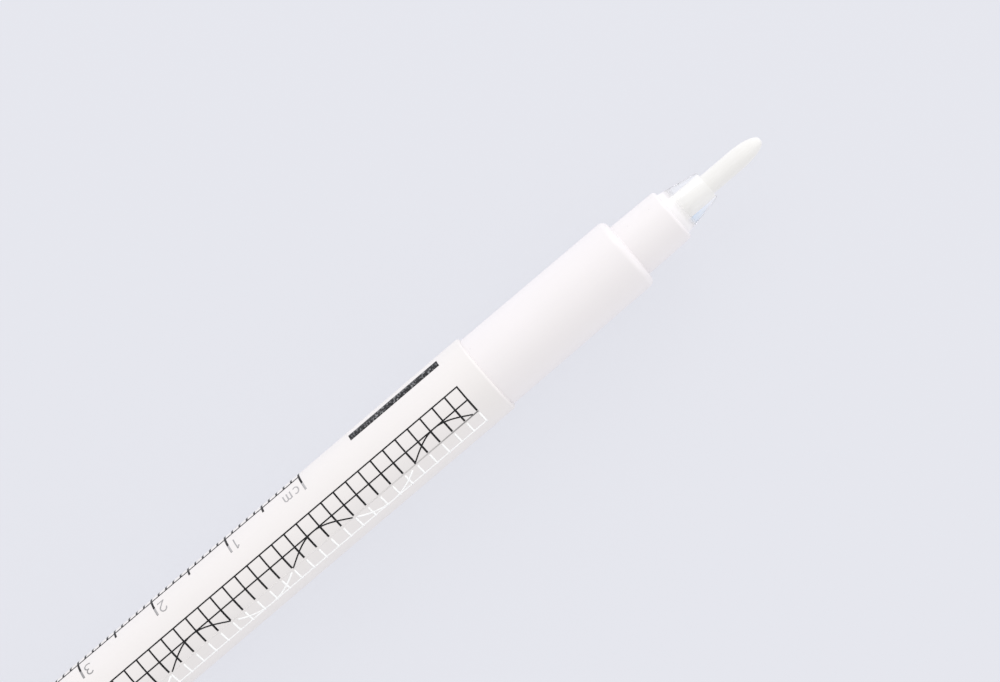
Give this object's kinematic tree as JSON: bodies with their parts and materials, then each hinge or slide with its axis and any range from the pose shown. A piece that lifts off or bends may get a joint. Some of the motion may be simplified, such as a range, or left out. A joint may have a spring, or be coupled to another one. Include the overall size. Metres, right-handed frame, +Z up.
{
  "type": "surgical skin marker",
  "caption": "Slim white skin marker pen with a printed ruler and grid on its barrel, a fine fibre nib in a clear holder, and a clipped cap posted on the rear.",
  "frame": {"origin": "bottom centre of the box round the whole marker, on the surface it lies on", "axes": "+X along the marker towards the nib, +Z up, +Y to the clip's side"},
  "size_m": [0.1608, 0.0124, 0.01],
  "materials": {
    "barrel_plastic": "warm white moulded plastic, satin gloss",
    "section_plastic": "slightly pink white moulded plastic, satin gloss",
    "clear_plastic": "clear moulded plastic, glossy",
    "nib_fibre": "bonded off-white fibre, matte",
    "ink_core": "wound fibre soaked with violet ink, matte",
    "core_film": "thin wrapped film, glossy",
    "cap_plastic": "warm white moulded plastic, satin gloss",
    "seal_plastic": "soft natural plastic, matte"
  },
  "bodies": {
    "pen": {"barrel": "barrel_plastic", "grip_section": "section_plastic", "nib_holder": "clear_plastic", "nib": "nib_fibre", "ink_reservoir": "ink_core", "reservoir_sleeve": "core_film", "rear_plug": "barrel_plastic"},
    "cap": {"cap_shell": "cap_plastic", "cap_inner_seal": "seal_plastic"}
  },
  "joints": [
    {"name": "cap_pull", "type": "slide", "parent": "pen", "child": "cap", "axis": [-1, 0, 0], "range_m": [0, 0.025]}
  ]
}
